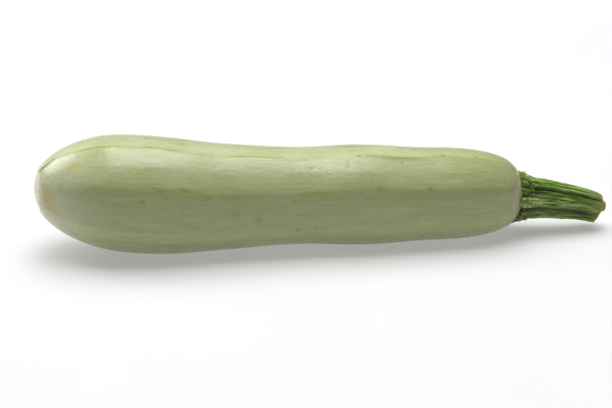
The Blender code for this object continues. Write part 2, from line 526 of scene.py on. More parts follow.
@dataclass(frozen=True)
class StalkRind:
    """Courgette stalk rind: a tough ribbed skin of long fibres, with a dried cut face.

    The fibres give pale scratches along the ribs and dark green furrows between them; the dark of the
    furrows is partly painted shade, and the pale fibre on the front mid rib is partly a painted highlight.
    Where it was cut, the rim dries to tan and the pith to brown.
    """

    furrow: str = "2a3e0e"
    side: str = "4a6a19"
    crest_and_painted_shade: str = "678829"
    fibre: str = "b3c086"
    dry: str = "8f8f48"
    flesh: str = "b9a066"
    pith: str = "a08048"
    # Pale fibre by turn round the stalk; its peak on the front mid rib is partly a painted highlight.
    worn_and_painted_highlight: Stations = ((0.0, 0.25), (0.08, 0.4), (0.16, 0.1), (0.27, 0.15), (0.37, 0.1), (0.43, 0.35),
        (0.455, 1.0), (0.495, 0.9), (0.525, 0.1), (0.66, 0.3), (0.755, 0.1), (0.875, 0.4), (1.0, 0.25))

    def material(self) -> bpy.types.Material:
        """Build the rind's node tree.

        Returns:
            The material.
        """
        material, tree, shader = new_finish("stalk_rind_fibrous", {"IOR": 1.45, "Specular IOR Level": 0.3,
            "Subsurface Weight": 0.1, "Subsurface Radius": (0.6, 1.0, 0.3), "Subsurface Scale": 1.2 * MM})
        grown = add(tree, READ, attribute_name="grown").outputs["Vector"]
        crest_and_painted_shade, cut, share, core = (add(tree, READ, attribute_name=name).outputs["Fac"]
                                   for name in ("crest_and_painted_shade", "cut", "share", "pith"))
        strands = grain(tree, grown, (10, 0.8, 0.8), {"Detail": 4.0, "Roughness": 0.65})
        blotch = grain(tree, grown, (4, 1.6, 1.6), {"Detail": 4.0})
        mottled = add(tree, MATH, {0: blotch, 1: 0.5}, operation="SUBTRACT")
        # Painted shade: the colour runs dark in the furrows, towards the foot and between the knobs, and pale
        # on the ribs and knobs; it is partly the rind's own colour.
        height = add(tree, MATH, {0: mottled, 1: 0.7, 2: crest_and_painted_shade}, operation="MULTIPLY_ADD")
        ramp = add(tree, "ShaderNodeValToRGB", {0: height})
        ramp.color_ramp.elements[0].position = 0.12
        ramp.color_ramp.elements[0].color = linear(self.furrow)
        ramp.color_ramp.elements[1].position = 1.0
        ramp.color_ramp.elements[1].color = linear(self.crest_and_painted_shade)
        ramp.color_ramp.elements.new(0.5).color = linear(self.side)
        ragged = add(tree, MATH, {0: mottled, 1: 0.3, 2: cut}, operation="MULTIPLY_ADD")
        dark, streak, frayed, dried, rim, flesh, pith = (
            add(tree, SPAN, {"Value": source, "From Min": low, "From Max": high, "To Max": most})
            for source, low, high, most in (
                (strands, 0.47, 0.33, 0.7), (strands, 0.5, 0.64, 0.8), (strands, 0.42, 0.6, 0.85),
                (share, 0.93, 1.0, 0.8), (ragged, 0.05, 0.25, 1.0), (ragged, 0.3, 0.6, 1.0),
                (core, 0.2, 0.6, 1.0)))
        fibrous = add(tree, MATH, {0: streak, 1: crest_and_painted_shade}, operation="MULTIPLY")
        # Painted highlight: the pale fibre is strongest on the front mid rib.
        faded_fibre_and_highlight = add(tree, MATH, {0: frayed, 1: self.wear_and_painted_highlight(tree, grown)}, operation="MULTIPLY")
        colour = paint(tree, ramp, [(dark, self.furrow), (fibrous, self.fibre), (faded_fibre_and_highlight, self.fibre),
            (dried, self.dry), (rim, self.dry), (flesh, self.flesh), (pith, self.pith)])
        tree.links.new(colour, shader.inputs["Base Color"])
        rough = add(tree, SPAN, {"Value": strands, "From Min": 0.3, "From Max": 0.7, "To Min": 0.42,
            "To Max": 0.62})
        tree.links.new(rough.outputs[0], shader.inputs["Roughness"])
        fibres = add(tree, "ShaderNodeBump", {"Height": strands, "Distance": 0.5 * MM, "Strength": 0.8})
        lumps = add(tree, "ShaderNodeBump", {"Height": blotch, "Distance": 0.3 * MM, "Strength": 0.5,
            "Normal": fibres})
        tree.links.new(lumps.outputs[0], shader.inputs["Normal"])
        return material

    def wear_and_painted_highlight(self, tree: Tree, grown: Socket) -> Node:
        """Read how much pale fibre shows at each turn round the stalk, most on the front mid rib, where it is
        partly a painted highlight.

        Args:
            tree: the material's tree.
            grown: the straightened place on the stalk, in metres.

        Returns:
            The node that holds the amount of pale fibre, from 0 to 1.
        """
        parts = add(tree, SPLIT, {0: grown})
        angle = add(tree, MATH, {0: parts.outputs[2], 1: parts.outputs[1]}, operation="ARCTAN2")
        turn = add(tree, MATH, {0: angle, 1: 2 * math.pi}, operation="DIVIDE")
        turn = add(tree, MATH, {0: turn}, operation="FRACT")
        return shape_curve(add(tree, CURVE, {"Value": turn}), self.worn_and_painted_highlight)


@dataclass(frozen=True)
class StalkWart:
    """Stalk warts: small hardened bumps and bristle stubs, paler and drier than the rind."""

    low: str = "3c5a1c"
    high: str = "84994f"

    def material(self) -> bpy.types.Material:
        """Build the warts' node tree: greener at random from one bump to the next."""
        material, tree, shader = new_finish("stalk_wart_dry", {"Roughness": 0.5})
        place = add(tree, "ShaderNodeTexCoord").outputs["Object"]
        speckle = grain(tree, place, (1.3, 1.3, 1.3), {"Detail": 3.0})
        shade = add(tree, SPAN, {"Value": speckle, "From Min": 0.38, "From Max": 0.62})
        colour = paint(tree, linear(self.low), [(shade, self.high)])
        tree.links.new(colour, shader.inputs["Base Color"])
        return material


@dataclass(frozen=True)
class PaperSweep:
    """Matt white background paper, rolled smooth: it gives a soft even floor with no gloss."""

    tone: str = "b0b0af"
    cloud: str = "aeaeae"
    glow: float = 0.32

    def material(self) -> bpy.types.Material:
        """Build the paper's node tree: its faint cloudiness is 80 mm across."""
        material, tree, shader = new_finish("paper_sweep_matt", {"Roughness": 0.95,
            "Emission Color": (1.0, 1.0, 1.0, 1.0), "Emission Strength": self.glow, "Specular IOR Level": 0.0})
        place = add(tree, "ShaderNodeTexCoord").outputs["Object"]
        cloud = grain(tree, place, (80, 80, 80), {"Detail": 2.0})
        shade = add(tree, SPAN, {"Value": cloud, "From Min": 0.3, "From Max": 0.7})
        colour = paint(tree, linear(self.cloud), [(shade, self.tone)])
        tree.links.new(colour, shader.inputs["Base Color"])
        return material


@dataclass
class Fruit:
    """The courgette's fruit, one body from blossom scar to shoulder.

    Lengths are in metres. The stations run from the blossom tip (0) to the shoulder (1); the swell is
    a share of the girth, and the twist, sway and lift are shares of their reach.
    """

    low: Vector
    high: Vector
    blossom_cap: float = 0.044
    blossom_bluntness: float = 2.4
    shoulder_cap: float = 0.038
    shoulder_bluntness: float = 3.5
    ridge_rise: float = 0.018
    ridge_sharpness: float = 1.6
    lump_height: float = 0.012
    crease: float = 0.25
    girth: float = 0.0257
    rings: int = 400
    segments: int = 240
    finish: CourgetteSkin = field(default_factory=CourgetteSkin)
    swell: Stations = ((0.0, 0.934), (0.222, 1.0), (0.389, 0.895), (0.537, 0.825), (0.662, 0.856),
        (0.824, 0.794), (1.0, 0.837))
    lift: Stations = ((0.0, 0.98), (0.12, 0.933), (0.324, 0.817), (0.537, 0.767), (0.662, 0.74), (0.824, 0.70),
        (1.0, 0.66))
    sway: Stations = ((0.0, 1.0), (0.231, 0.2), (0.519, 0.0), (0.787, 0.2), (1.0, 0.667))
    twist: Stations = ((0.0, 0.0), (0.22, 0.0), (0.33, 0.9), (0.46, 1.0), (0.56, 0.55), (0.75, 0.0), (1.0, 0.0))
    lift_reach: float = 0.030
    sway_reach: float = 0.003
    twist_reach: float = math.radians(3.2)
    blemishes: tuple[Blemish, ...] = (
        Blemish(Mark.LEAF, 5.5, 108, 5.0, 4.4),
        Blemish(Mark.LEAF, 9.0, 103, 4.2, 5.5, 0.75),
        Blemish(Mark.AMBER, 18, 128, 4.6, 1.6, 0.7),
        Blemish(Mark.GREEN, 24, 126, 1.0, 1.0, 0.5),
        Blemish(Mark.GREEN, 31, 99, 1.0, 1.0, 0.6),
        Blemish(Mark.GREEN, 2.5, 162, 1.0),
        Blemish(Mark.AMBER, 6.5, 170, 4.2, 0.55, 0.75),
        Blemish(Mark.AMBER, 7.5, 188, 4.0, 0.8, 0.65),
        Blemish(Mark.RUST, 6.5, 134, 1.2, 1.0, 0.6),
        Blemish(Mark.RUST, 4.2, 148, 1.5, 0.8, 0.6),
        Blemish(Mark.RUST, 5, 166, 2.6, 0.8, 0.35),
        Blemish(Mark.RUST, 5.5, 180, 2.0, 1.4, 0.45),
        Blemish(Mark.RUST, 6, 191, 2.8, 2.2, 0.7),
        Blemish(Mark.RUST, 10, 195, 3.4, 3.0, 0.5),
        Blemish(Mark.GREEN, 12, 157, 1.6, 0.8, 0.5),
        Blemish(Mark.AMBER, 27, 179, 1.4, 1.0, 0.7),
        Blemish(Mark.RUST, 25, 196, 1.2, 1.0, 0.5),
        Blemish(Mark.GREEN, 60, 108, 5.0, 5.0, 0.8),
        Blemish(Mark.GREEN, 50, 107, 2.0, 2.0, 0.7),
        Blemish(Mark.GREEN, 64, 151, 5.0, 4.0, 0.7),
        Blemish(Mark.GREEN, 55, 155, 2.5, 2.5, 0.7),
        Blemish(Mark.GREEN, 46, 166, 2.6, 1.3, 0.7),
        Blemish(Mark.GREEN, 45, 197, 1.8, 1.0, 0.5),
        Blemish(Mark.GREEN, 74, 157, 2.4, 2.0, 0.6),
        Blemish(Mark.GREEN, 86, 175, 3.2, 1.3, 0.6),
        Blemish(Mark.GREEN, 96, 183, 2.6, 0.8, 0.7),
        Blemish(Mark.GREEN, 112, 163, 1.8, 1.0, 0.6),
        Blemish(Mark.GREEN, 113, 200, 1.4),
        Blemish(Mark.GREEN, 121, 200, 2.2, 1.8, 0.8),
        Blemish(Mark.PIT, 120, 124, 0.9),
        Blemish(Mark.PIT, 136, 118, 0.8),
        Blemish(Mark.PIT, 136, 124, 1.0),
        Blemish(Mark.PIT, 160, 119, 0.8),
        Blemish(Mark.RUST, 133, 117, 0.6, 0.3, 0.8),
        Blemish(Mark.GREEN, 141, 109, 1.0),
        Blemish(Mark.GREEN, 149, 153, 1.4, 1.0, 0.8),
        Blemish(Mark.GREEN, 156, 130, 1.0, 1.0, 0.7),
        Blemish(Mark.GREEN, 171, 153, 2.0, 1.8, 0.9),
        Blemish(Mark.GREEN, 149, 224, 2.4, 1.4, 0.7),
        Blemish(Mark.GREEN, 179, 105, 1.2, 1.0, 0.9),
        Blemish(Mark.GREEN, 194, 106, 1.6, 1.6, 0.9),
        Blemish(Mark.GREEN, 203, 176, 1.3, 1.0, 0.6),
        Blemish(Mark.GREEN, 38, 62, 2.4, 2.0, 0.6),
        Blemish(Mark.PIT, 71, 48, 0.9),
        Blemish(Mark.GREEN, 92, 17, 3.4, 3.0, 0.6),
        Blemish(Mark.AMBER, 104, 352, 3.0, 1.8, 0.6),
        Blemish(Mark.GREEN, 128, 66, 1.8, 1.4, 0.6),
        Blemish(Mark.GREEN, 151, 338, 2.6, 2.2, 0.7),
        Blemish(Mark.PIT, 166, 31, 0.8),
        Blemish(Mark.GREEN, 187, 12, 1.8, 1.6, 0.6),
    )

    def sizes(self, skin: bpy.types.Material) -> Sizes:
        """Name the sizes that the growth tree reads."""
        return {
            "Length": self.high.x - self.low.x, "Girth": self.girth, "Sway": self.sway_reach,
            "Lift": self.lift_reach, "Twist": self.twist_reach, "Blossom Cap": self.blossom_cap,
            "Blossom Bluntness": self.blossom_bluntness, "Shoulder Cap": self.shoulder_cap,
            "Shoulder Bluntness": self.shoulder_bluntness, "Ridges": float(self.finish.ridges),
            "First Ridge": self.finish.first_ridge, "Ridge Rise": self.ridge_rise,
            "Ridge Sharpness": self.ridge_sharpness, "Crease": self.crease, "Lump Height": self.lump_height,
            "Seed": 7.0, "Rings": self.rings + 1, "Segments": self.segments + 1, "Skin": skin,
        }

    def growth_tree(self, sizes: Sizes) -> Tree:
        """Build the tree that grows the fruit: a grid wrapped round a bent line.

        Args:
            sizes: the tree's named inputs.

        Returns:
            The geometry tree.
        """
        tree = bpy.data.node_groups.new("grow_fruit", "GeometryNodeTree")
        size, sheet, step, angle = open_sheet(tree, sizes)
        half_turn = add(tree, MATH, {0: step, 1: math.pi}, operation="MULTIPLY")
        fall = add(tree, MATH, {0: half_turn}, operation="COSINE")
        share = add(tree, SPAN, {"Value": fall, "From Min": 1.0, "From Max": -1.0})
        place = add(tree, MATH, {0: share, 1: size["Length"]}, operation="MULTIPLY")
        radius = self.radius(tree, size, share, place)
        ridged = self.ridged(tree, size, place, angle)
        cosine = add(tree, MATH, {0: angle}, operation="COSINE")
        sine = add(tree, MATH, {0: angle}, operation="SINE")
        across = add(tree, MATH, {0: radius, 1: cosine}, operation="MULTIPLY")
        upward = add(tree, MATH, {0: radius, 1: sine}, operation="MULTIPLY")
        grown = add(tree, COMBINE, {0: place, 1: across, 2: upward})
        swollen = add(tree, MATH, {0: ridged, 1: self.lumps(tree, size, grown)}, operation="ADD")
        reach = add(tree, MATH, {0: radius, 1: swollen}, operation="MULTIPLY")
        twist = shape_curve(add(tree, CURVE, {"Value": share}), self.twist)
        turned = add(tree, MATH, {0: twist, 1: size["Twist"], 2: angle}, operation="MULTIPLY_ADD")
        sideways = add(tree, MATH, {0: turned}, operation="COSINE")
        up = add(tree, MATH, {0: turned}, operation="SINE")
        side = add(tree, MATH, {0: reach, 1: sideways}, operation="MULTIPLY")
        rise = add(tree, MATH, {0: reach, 1: up}, operation="MULTIPLY")
        sway = shape_curve(add(tree, CURVE, {"Value": share}), self.sway)
        lift = shape_curve(add(tree, CURVE, {"Value": share}), self.lift)
        y = add(tree, MATH, {0: sway, 1: size["Sway"], 2: side}, operation="MULTIPLY_ADD")
        z = add(tree, MATH, {0: lift, 1: size["Lift"], 2: rise}, operation="MULTIPLY_ADD")
        placed = add(tree, COMBINE, {0: place, 1: y, 2: z})
        close_sheet(tree, sheet, {"grown": grown}, placed, size["Skin"])
        return tree

    def radius(self, tree: Tree, size: bpy.types.bpy_prop_collection, share: Node, place: Node) -> Node:
        """Give the section's mean radius: the swell, rounded off at both ends.

        Args:
            tree: the growth tree.
            size: the tree's named inputs.
            share: how far along the fruit, from 0 to 1.
            place: the same in metres.

        Returns:
            The node that holds the radius.
        """
        swell = shape_curve(add(tree, CURVE, {"Value": share}), self.swell)
        radius = add(tree, MATH, {0: swell, 1: size["Girth"]}, operation="MULTIPLY")
        rest = add(tree, MATH, {0: size["Length"], 1: place}, operation="SUBTRACT")
        for distance, end in ((place, "Blossom"), (rest, "Shoulder")):
            run = add(tree, SPAN, {"Value": distance, "From Max": size[f"{end} Cap"], "To Min": 1.0,
                "To Max": 0.0})
            square = add(tree, MATH, {0: run, 1: run}, operation="MULTIPLY")
            left = add(tree, MATH, {0: 1.0, 1: square}, operation="SUBTRACT", use_clamp=True)
            root = add(tree, MATH, {0: 1.0, 1: size[f"{end} Bluntness"]}, operation="DIVIDE")
            cap = add(tree, MATH, {0: left, 1: root}, operation="POWER")
            radius = add(tree, MATH, {0: radius, 1: cap}, operation="MULTIPLY")
        return radius

    def ridged(self, tree: Tree, size: bpy.types.bpy_prop_collection, place: Node, angle: Node) -> Node:
        """Give how much the section stands out at an angle: most on a ridge, least between.

        The ridges fade out over the last 30 mm at the blossom end and 14 mm at the shoulder.

        Args:
            tree: the growth tree.
            size: the tree's named inputs.
            place: the distance from the blossom tip.
            angle: the angle round the fruit.

        Returns:
            The node that holds the factor.
        """
        offset = add(tree, MATH, {0: angle, 1: size["First Ridge"]}, operation="SUBTRACT")
        phase = add(tree, MATH, {0: offset, 1: size["Ridges"]}, operation="MULTIPLY")
        wave = add(tree, MATH, {0: phase}, operation="COSINE")
        rise = add(tree, SPAN, {"Value": wave, "From Min": -1.0, "From Max": 1.0})
        sharp = add(tree, MATH, {0: rise, 1: size["Ridge Sharpness"]}, operation="POWER")
        crease = add(tree, MATH, {0: rise, 1: 12.0}, operation="POWER")
        even = add(tree, MATH, {0: sharp, 1: 0.4}, operation="SUBTRACT")
        even = add(tree, MATH, {0: crease, 1: size["Crease"], 2: even}, operation="MULTIPLY_ADD")
        scaled = add(tree, MATH, {0: even, 1: size["Ridge Rise"]}, operation="MULTIPLY")
        rest = add(tree, MATH, {0: size["Length"], 1: place}, operation="SUBTRACT")
        for distance, fade in ((place, 0.030), (rest, 0.014)):
            eased = add(tree, SPAN, {"Value": distance, "From Max": fade}, interpolation_type="SMOOTHSTEP")
            scaled = add(tree, MATH, {0: scaled, 1: eased}, operation="MULTIPLY")
        return add(tree, MATH, {0: scaled, 1: 1.0}, operation="ADD")

    def lumps(self, tree: Tree, size: bpy.types.bpy_prop_collection, grown: Node) -> Node:
        """Give the uneven swelling of the flesh: lumps 30 mm long and 14 mm wide, with finer ones on them.

        Args:
            tree: the growth tree.
            size: the tree's named inputs.
            grown: the straightened place on the fruit.

        Returns:
            The node that holds the change of radius, as a share of it.
        """
        noise = grain(tree, grown, (30, 14, 14), {"W": size["Seed"], "Detail": 1.5, "Roughness": 0.35},
            noise_dimensions="4D")
        even = add(tree, MATH, {0: noise, 1: 0.5}, operation="SUBTRACT")
        return add(tree, MATH, {0: even, 1: size["Lump Height"]}, operation="MULTIPLY")

    def build(self) -> bpy.types.Object:
        """Grow the fruit, set it in its place in the frame and mark its skin.

        Returns:
            The finished fruit.
        """
        sizes = self.sizes(self.finish.material())
        piece = grow("fruit_skin", self.growth_tree(sizes), sizes)
        mesh = piece.data
        points = vectors(mesh, "co")
        self.settle(points)
        self.mark(mesh, points)
        mesh.vertices.foreach_set("co", points.ravel())
        mesh.update()
        return piece

    def settle(self, points: np.ndarray) -> None:
        """Move the grown points into the frame's box and press the underside flat on the surface.

        Args:
            points: the mesh's points, changed in place.
        """
        middle = (points.min(axis=0) + points.max(axis=0)) / 2
        points[:, 0] += self.low.x - points[:, 0].min()
        points[:, 1] += (self.low.y + self.high.y) / 2 - middle[1]
        points[:, 2] += self.high.z - points[:, 2].max()
        floor, softness = self.low.z, 0.25 * MM
        above = points[:, 2] - floor
        points[:, 2] = floor + np.where(above > softness, above, np.where(above < -softness, 0.0,
            (above + softness) ** 2 / (4 * softness)))

    def mark(self, mesh: bpy.types.Mesh, points: np.ndarray) -> None:
        """Paint the blemishes and the blossom scar on the skin, and sink or raise it there.

        Args:
            mesh: the fruit's mesh.
            points: the mesh's points, changed in place.
        """
        grown = np.zeros(points.size, np.float32)
        mesh.attributes["grown"].data.foreach_get("vector", grown)
        grown = grown.reshape(-1, 3)
        amounts = {mark: np.zeros(len(points), np.float32) for mark in Mark}
        rise = np.zeros(len(points), np.float32)
        around = np.arctan2(grown[:, 2], grown[:, 1])
        girth = np.hypot(grown[:, 1], grown[:, 2])
        for spot in self.blemishes:
            turn = around - math.radians(spot.angle)
            turn = (turn + math.pi) % (2 * math.pi) - math.pi
            run = (grown[:, 0] - spot.place * MM) / (spot.size * MM)
            span = turn * girth / (spot.size * MM / spot.stretch)
            near = np.exp(-1.2 * (run**2 + span**2)) * spot.strength
            amounts[spot.mark] = np.maximum(amounts[spot.mark], near)
            if spot.mark is Mark.PIT:
                rise -= near * 0.18 * MM
            if spot.mark is Mark.RUST:
                rise += near * 0.05 * MM
        self.blossom_scar(grown, girth, around, amounts, rise)
        for mark, amount in amounts.items():
            layer = mesh.attributes.new(mark.value, "FLOAT", "POINT")
            layer.data.foreach_set("value", amount.astype(np.float32))
        points += vectors(mesh, "normal") * rise[:, None]

    def blossom_scar(self, grown: np.ndarray, girth: np.ndarray, around: np.ndarray,
            amounts: dict[Mark, np.ndarray], rise: np.ndarray) -> None:
        """Form the scar where the flower fell: a shallow dish with a stub in its middle and a rusty rim.

        Args:
            grown: the straightened places, in metres.
            girth: each point's distance from the fruit's line.
            around: each point's angle round it.
            amounts: the painted amounts, changed in place.
            rise: the change along the normal, changed in place.
        """
        tip = grown[:, 0] < 0.03
        uneven = 1 + 0.06 * np.sin(3 * around + 0.7) + 0.04 * np.sin(7 * around)
        reach = girth / (10.5 * MM * uneven)
        dish = np.where(tip, smoothstep(1.0, 0.72, reach), 0.0)
        rim = np.where(tip, np.exp(-((reach - 1.12) / 0.09) ** 2), 0.0)
        stub = np.where(tip, smoothstep(0.26, 0.14, reach), 0.0)
        rise += (-0.5 * dish + 0.1 * rim + 0.15 * stub) * MM
        rise += dish * 0.08 * MM * np.sin(17 * around)
        amounts[Mark.PALE] = np.maximum(amounts[Mark.PALE], 0.9 * dish)
        patches = 0.5 + 0.5 * np.sin(2 * around + 0.5) * np.sin(5 * around)
        amounts[Mark.RUST] = np.maximum(amounts[Mark.RUST], rim * 0.35 * patches)
        amounts[Mark.RUST] = np.maximum(amounts[Mark.RUST], 0.9 * stub)


@dataclass
class Stalk:
    """The cut stalk: uneven ribs that flare on to the shoulder, with warts at their foot.

    Lengths are in metres, from the frame: root is where the stalk's line starts inside the shoulder,
    bend is the point that pulls the line down, and cut is the middle of the cut face. The girth is a
    share of the widest radius, and the section a share of the rib depth, round from one side.
    """

    low: Vector
    high: Vector
    root: Vector = field(init=False)
    bend: Vector = field(init=False)
    cut: Vector = field(init=False)
    widest: float = 12.0 * MM
    rib_depth: float = 0.30
    strand_height: float = 1.6 * MM
    knob_height: float = 3.6 * MM
    cut_slant: float = math.tan(math.radians(-3.0))
    dome_rise: float = 1.8 * MM
    pith_rise: float = 2.2 * MM
    pith_place: float = 1.9 * MM
    pith_radius: float = 2.8 * MM
    straight_length: float = 0.047
    straight_radius: float = 0.009
    wart_radius: float = 0.48 * MM
    warts_per_square_metre: float = 450000.0
    rings: int = 230
    segments: int = 260
    rind: StalkRind = field(default_factory=StalkRind)
    wart: StalkWart = field(default_factory=StalkWart)
    girth: Stations = ((0.0, 0.967), (0.15, 0.917), (0.23, 0.85), (0.34, 0.742), (0.49, 0.692), (0.72, 0.633),
        (1.0, 0.542))
    flare: Stations = ((0.0, 1.0), (0.2, 0.95), (0.35, 0.7), (0.6, 0.6), (1.0, 0.4))
    section: Stations = ((0.0, 0.55), (0.03, 0.75), (0.08, 0.95), (0.125, 0.6), (0.16, 0.15), (0.19, 0.4),
        (0.22, 0.8), (0.275, 0.95), (0.33, 0.85), (0.36, 0.35), (0.375, 0.1), (0.393, 0.5), (0.41, 0.45),
        (0.425, 0.6), (0.443, 0.4), (0.468, 0.95), (0.49, 0.95), (0.515, 0.55), (0.54, 0.15), (0.57, 0.5),
        (0.59, 0.4), (0.655, 0.95), (0.7, 0.7), (0.755, 0.05), (0.81, 0.5), (0.875, 1.0), (0.92, 0.65),
        (0.965, 0.1), (1.0, 0.55))

    def __post_init__(self) -> None:
        """Place the stalk's line from the frame's box of the stalk node."""
        self.cut = Vector((self.high.x - 0.0032, self.low.y + 0.0136, self.low.z + 0.0060))
        self.root = Vector((self.low.x - 0.0060, self.low.y + 0.0125, self.low.z + 0.0142))
        self.bend = Vector((self.low.x + 0.0263, self.low.y + 0.0128, self.low.z + 0.0119))

    def sizes(self, rind: bpy.types.Material) -> Sizes:
        """Name the sizes that the growth tree reads."""
        return {
            "Root": self.root, "Bend": self.bend, "Cut": self.cut, "Girth": self.widest,
            "Rib Depth": self.rib_depth, "Strand Height": self.strand_height,
            "Knob Height": self.knob_height, "Cut Slant": self.cut_slant, "Dome Rise": self.dome_rise,
            "Pith Rise": self.pith_rise, "Pith Place": self.pith_place, "Pith Radius": self.pith_radius,
            "Rings": self.rings + 1, "Segments": self.segments + 1, "Rind": rind,
        }

    def growth_tree(self, sizes: Sizes) -> Tree:
        """Build the tree that grows the stalk: a grid wrapped round a bent line and closed at both ends.

        Args:
            sizes: the tree's named inputs.

        Returns:
            The geometry tree.
        """
        tree = bpy.data.node_groups.new("grow_stalk", "GeometryNodeTree")
        size, sheet, step, angle = open_sheet(tree, sizes)
        share = add(tree, SPAN, {"Value": step, "From Min": 0.04, "From Max": 0.80})
        opening = add(tree, SPAN, {"Value": step, "From Min": 0.0, "From Max": 0.04})
        closing = add(tree, SPAN, {"Value": step, "From Min": 1.0, "From Max": 0.80})
        reach = add(tree, MATH, {0: opening, 1: closing}, operation="MINIMUM")
        line = add(tree, "GeometryNodeCurveQuadraticBezier", {"Resolution": 64, "Start": size["Root"],
            "Middle": size["Bend"], "End": size["Cut"]})
        on_line = add(tree, "GeometryNodeSampleCurve", {"Curves": line, "Factor": share}, mode="FACTOR")
        ahead = on_line.outputs["Tangent"]
        across = add(tree, VECTORS, {0: (0.0, 0.0, 1.0), 1: ahead}, operation="CROSS_PRODUCT")
        across = add(tree, VECTORS, {0: across}, operation="NORMALIZE")
        upward = add(tree, VECTORS, {0: ahead, 1: across}, operation="CROSS_PRODUCT")
        cosine = add(tree, MATH, {0: angle}, operation="COSINE")
        sine = add(tree, MATH, {0: angle}, operation="SINE")
        radius, crest_and_painted_shade, grown = self.ribs(tree, size, share, angle, cosine, sine)
        out = add(tree, MATH, {0: radius, 1: reach}, operation="MULTIPLY")
        side = add(tree, MATH, {0: out, 1: cosine}, operation="MULTIPLY")
        rise = add(tree, MATH, {0: out, 1: sine}, operation="MULTIPLY")
        lean = add(tree, MATH, {0: rise, 1: size["Cut Slant"]}, operation="MULTIPLY")
        late = add(tree, MATH, {0: share, 1: 3.0}, operation="POWER")
        forward = add(tree, MATH, {0: lean, 1: late}, operation="MULTIPLY")
        face, pith = self.cut_face(tree, size, closing, side, rise)
        forward = add(tree, MATH, {0: forward, 1: face}, operation="ADD")
        placed = on_line.outputs["Position"]
        for way, distance in ((across, side), (upward, rise), (ahead, forward)):
            moved = add(tree, VECTORS, {0: way, "Scale": distance}, operation="SCALE")
            placed = add(tree, VECTORS, {0: placed, 1: moved}, operation="ADD")
        dried = add(tree, MATH, {0: 1.0, 1: closing}, operation="SUBTRACT", use_clamp=True)
        marks = {"grown": grown, "crest_and_painted_shade": crest_and_painted_shade, "cut": dried, "pith": pith, "share": share}
        close_sheet(tree, sheet, marks, placed, size["Rind"])
        return tree

    def ribs(self, tree: Tree, size: bpy.types.bpy_prop_collection, share: Node, angle: Node, cosine: Node,
            sine: Node) -> tuple[Node, Node, Node]:
        """Give the ribbed section: uneven ribs and furrows, with strands of fibre and, at the foot, knobs.

        Args:
            tree: the growth tree.
            size: the tree's named inputs.
            share: how far along the stalk, from 0 to 1.
            angle: the angle round it.
            cosine: the angle's cosine.
            sine: the angle's sine.

        Returns:
            The nodes that hold the radius, how high a point is on its rib (with painted shade at the foot and
            between the knobs, and painted light on the knobs), and its straightened place.
        """
        girth = shape_curve(add(tree, CURVE, {"Value": share}), self.girth)
        radius = add(tree, MATH, {0: girth, 1: size["Girth"]}, operation="MULTIPLY")
        turn = add(tree, MATH, {0: angle, 1: 2 * math.pi}, operation="DIVIDE")
        bent = add(tree, "ShaderNodeTexNoise", {"Vector": add(tree, COMBINE, {0: share, 1: cosine, 2: sine}),
            "Scale": 3.0, "Detail": 1.0})
        wander = add(tree, MATH, {0: bent, 1: 0.5}, operation="SUBTRACT")
        turn = add(tree, MATH, {0: wander, 1: 0.04, 2: turn}, operation="MULTIPLY_ADD")
        around = add(tree, MATH, {0: turn}, operation="FRACT")
        rib = shape_curve(add(tree, CURVE, {"Value": around}), self.section)
        even = add(tree, MATH, {0: rib, 1: 0.62}, operation="SUBTRACT")
        flare = shape_curve(add(tree, CURVE, {"Value": share}), self.flare)
        depth = add(tree, MATH, {0: flare, 1: size["Rib Depth"]}, operation="MULTIPLY")
        factor = add(tree, MATH, {0: even, 1: depth, 2: 1.0}, operation="MULTIPLY_ADD")
        ribbed = add(tree, MATH, {0: radius, 1: factor}, operation="MULTIPLY")
        y = add(tree, MATH, {0: cosine, 1: self.straight_radius}, operation="MULTIPLY")
        z = add(tree, MATH, {0: sine, 1: self.straight_radius}, operation="MULTIPLY")
        x = add(tree, MATH, {0: share, 1: self.straight_length}, operation="MULTIPLY")
        grown = add(tree, COMBINE, {0: x, 1: y, 2: z})
        strands = grain(tree, grown, (18, 2.1, 2.1), {"Detail": 3.0, "Roughness": 0.6})
        thin = grain(tree, grown, (12, 0.9, 0.9), {"Detail": 2.0})
        both = add(tree, MATH, {0: thin, 1: 0.5, 2: strands}, operation="MULTIPLY_ADD")
        proud = add(tree, MATH, {0: both, 1: 0.75}, operation="SUBTRACT")
        ribbed = add(tree, MATH, {0: proud, 1: size["Strand Height"], 2: ribbed}, operation="MULTIPLY_ADD")
        knobs = grain(tree, grown, (3.0, 2.6, 2.6), {"Detail": 2.0})
        knob = add(tree, MATH, {0: knobs, 1: 0.5}, operation="SUBTRACT")
        foot = add(tree, SPAN, {"Value": share, "From Min": 0.2, "From Max": 0.42, "To Min": 1.0,
            "To Max": 0.1}, interpolation_type="SMOOTHSTEP")
        bulge = add(tree, MATH, {0: foot, 1: size["Knob Height"]}, operation="MULTIPLY")
        ribbed = add(tree, MATH, {0: knob, 1: bulge, 2: ribbed}, operation="MULTIPLY_ADD")
        # Painted light and shade: the knobs are painted pale, the hollows between them dark, and the colour
        # darkens towards the foot.
        knobbed = add(tree, MATH, {0: knob, 1: foot}, operation="MULTIPLY")
        shaded = add(tree, MATH, {0: foot, 1: -0.28, 2: rib}, operation="MULTIPLY_ADD")
        fibrous = add(tree, MATH, {0: proud, 1: 2.0, 2: shaded}, operation="MULTIPLY_ADD")
        high = add(tree, MATH, {0: knobbed, 1: 2.4, 2: fibrous}, operation="MULTIPLY_ADD", use_clamp=True)
        return ribbed, high, grown

